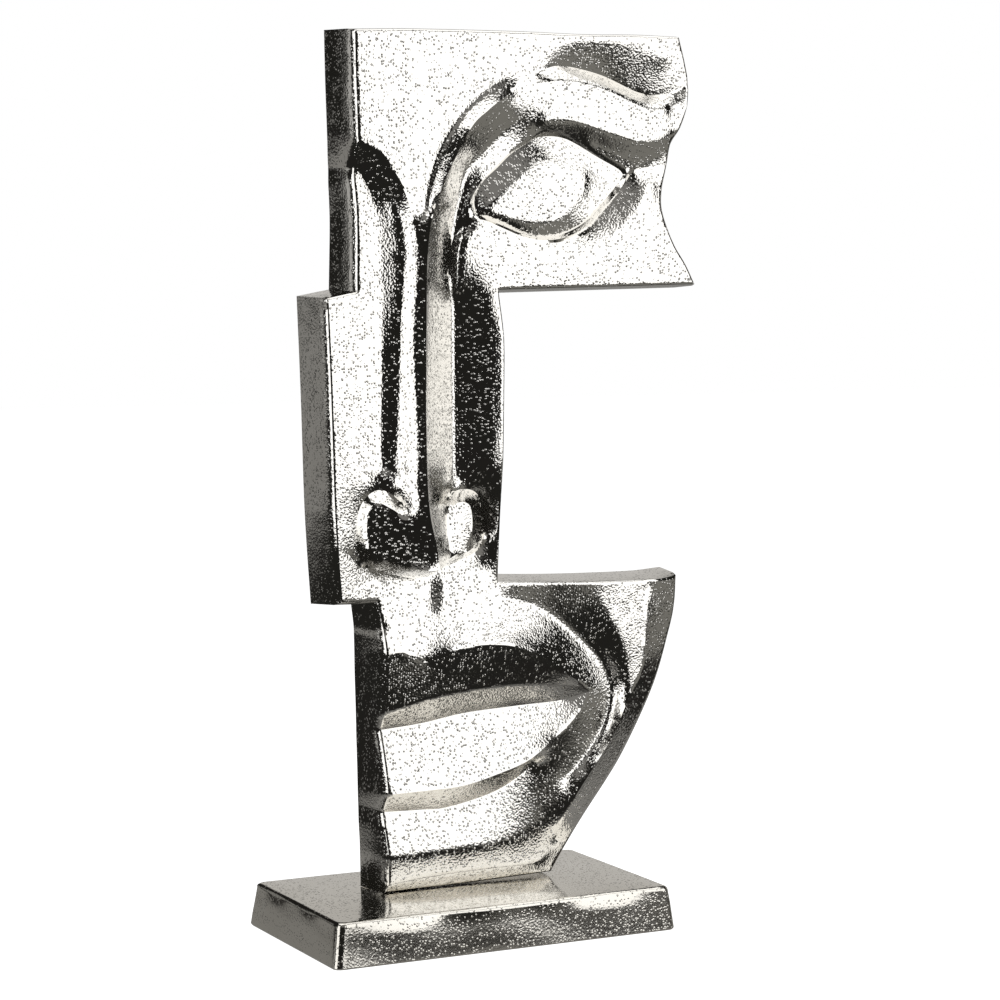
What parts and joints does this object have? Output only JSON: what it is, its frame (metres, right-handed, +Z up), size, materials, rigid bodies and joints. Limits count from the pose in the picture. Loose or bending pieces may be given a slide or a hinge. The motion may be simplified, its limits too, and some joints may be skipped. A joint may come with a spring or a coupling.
{
  "type": "metal face sculpture",
  "caption": "Upright half face cast in silvery metal: a thick stepped slab carved with brow, eye, nose and lips, on a low block plinth.",
  "frame": {"origin": "middle of the plinth's underside, on the surface it stands on", "axes": "+Z up, -Y out of the carved front, +X to the right of the front view"},
  "size_m": [0.2485, 0.1198, 0.4934],
  "materials": {
    "face_metal": "bright nickel-plated sand casting, fine grain, smooth ridges",
    "plinth_metal": "bright nickel-plated sand casting, rubbed smoother on top"
  },
  "bodies": {
    "root": {"face": "face_metal", "plinth": "plinth_metal"}
  },
  "joints": []
}
